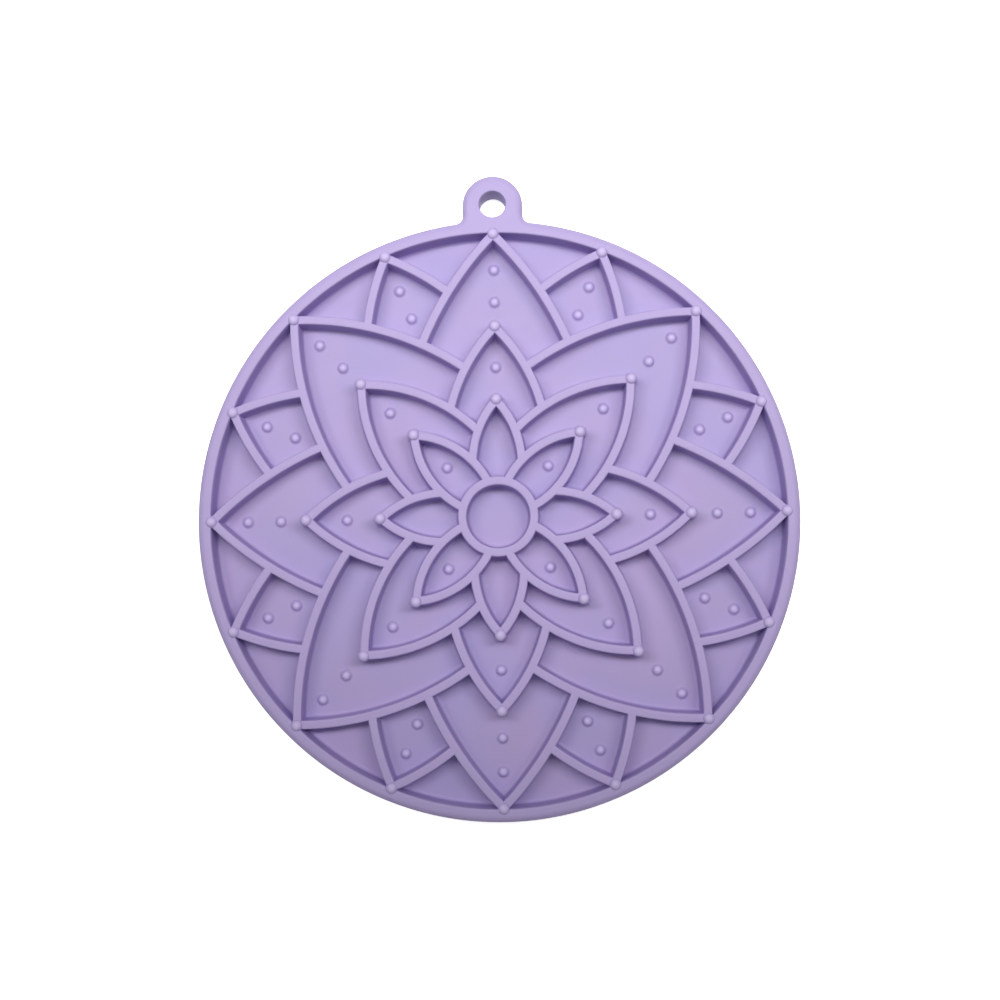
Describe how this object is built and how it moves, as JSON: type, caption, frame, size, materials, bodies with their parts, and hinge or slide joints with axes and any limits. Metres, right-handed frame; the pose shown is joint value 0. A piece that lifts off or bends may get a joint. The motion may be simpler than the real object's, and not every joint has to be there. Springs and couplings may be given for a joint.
{
  "type": "lick mat",
  "caption": "Round moulded lick mat with a lotus rosette of raised ridges, domed studs and nubs, and a hanging tab with a hole.",
  "frame": {"origin": "centre of the round disc on its flat back", "axes": "+Z out of the licking face, +Y from the disc's centre towards the hanging tab, +X to the right when the tab points up"},
  "size_m": [0.2, 0.2155, 0.0106],
  "materials": {
    "mat_rubber": "satin"
  },
  "bodies": {
    "root": {"base_sheet": "mat_rubber", "outer_rim": "mat_rubber", "hang_tab": "mat_rubber", "centre_ring": "mat_rubber", "inner_front_petals": "mat_rubber", "inner_back_petals": "mat_rubber", "middle_front_petals": "mat_rubber", "middle_back_petals": "mat_rubber", "outer_front_petals": "mat_rubber", "outer_back_petals": "mat_rubber", "edge_petals": "mat_rubber", "inner_studs": "mat_rubber", "middle_studs": "mat_rubber", "rim_studs": "mat_rubber", "inner_nubs": "mat_rubber", "middle_nubs": "mat_rubber", "outer_nubs": "mat_rubber", "edge_nubs": "mat_rubber"}
  },
  "joints": []
}
